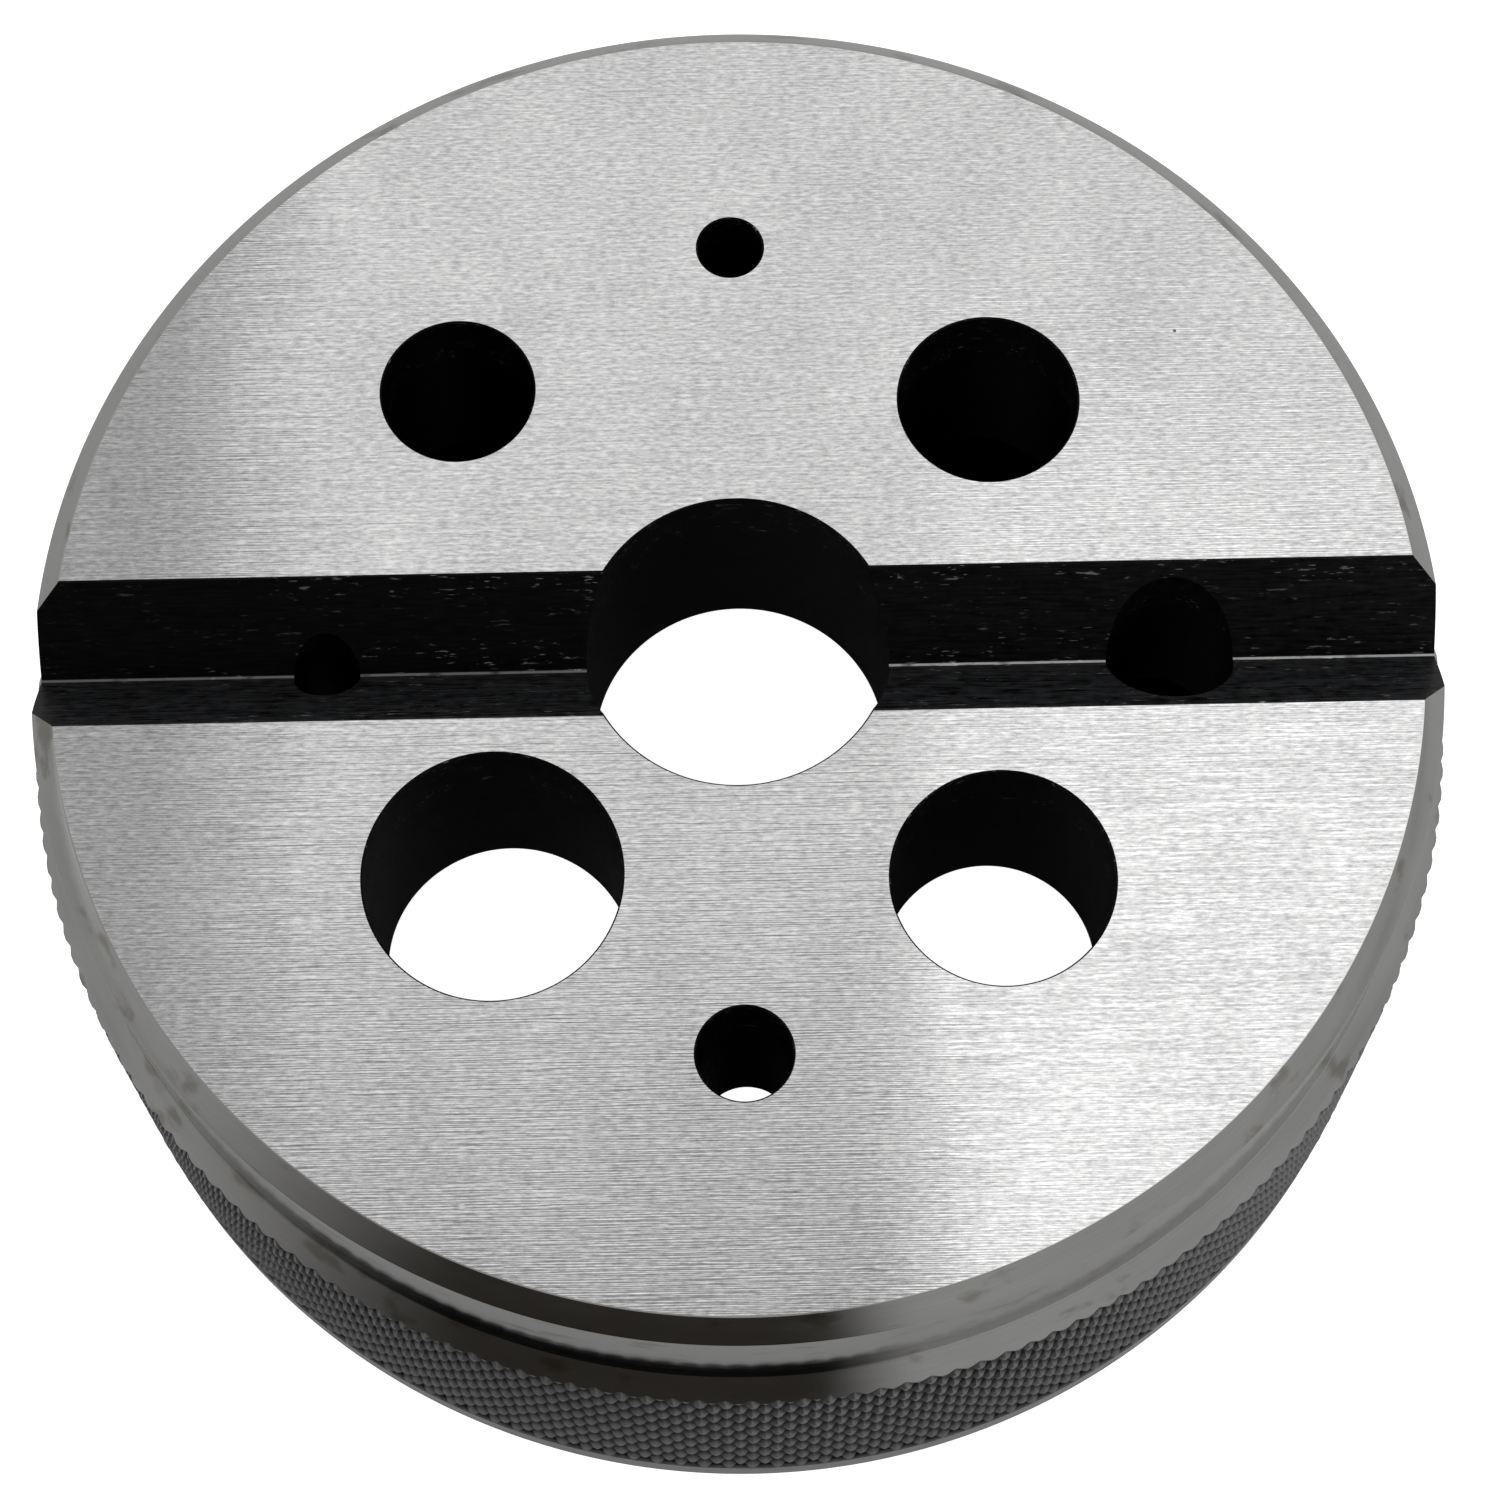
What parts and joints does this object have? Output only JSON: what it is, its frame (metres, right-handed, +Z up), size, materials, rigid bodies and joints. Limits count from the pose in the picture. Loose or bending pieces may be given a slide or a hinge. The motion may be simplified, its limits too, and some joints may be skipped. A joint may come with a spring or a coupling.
{
  "type": "bench block",
  "caption": "Round hardened steel bench block with a knurled rim, a V-groove across its face and graded through bores for driving pins.",
  "frame": {"origin": "centre of the base, on the surface that the block stands on", "axes": "+Z up out of the working face, X along the V-groove with the larger groove bore on +X, +Y towards the smallest bore on the face"},
  "size_m": [0.0758, 0.0758, 0.03],
  "materials": {
    "steel": "ground working face, turned neck and chamfers, knurled rim, black oxide in the bores and the groove"
  },
  "bodies": {
    "root": {"bench_block": "steel"}
  },
  "joints": []
}
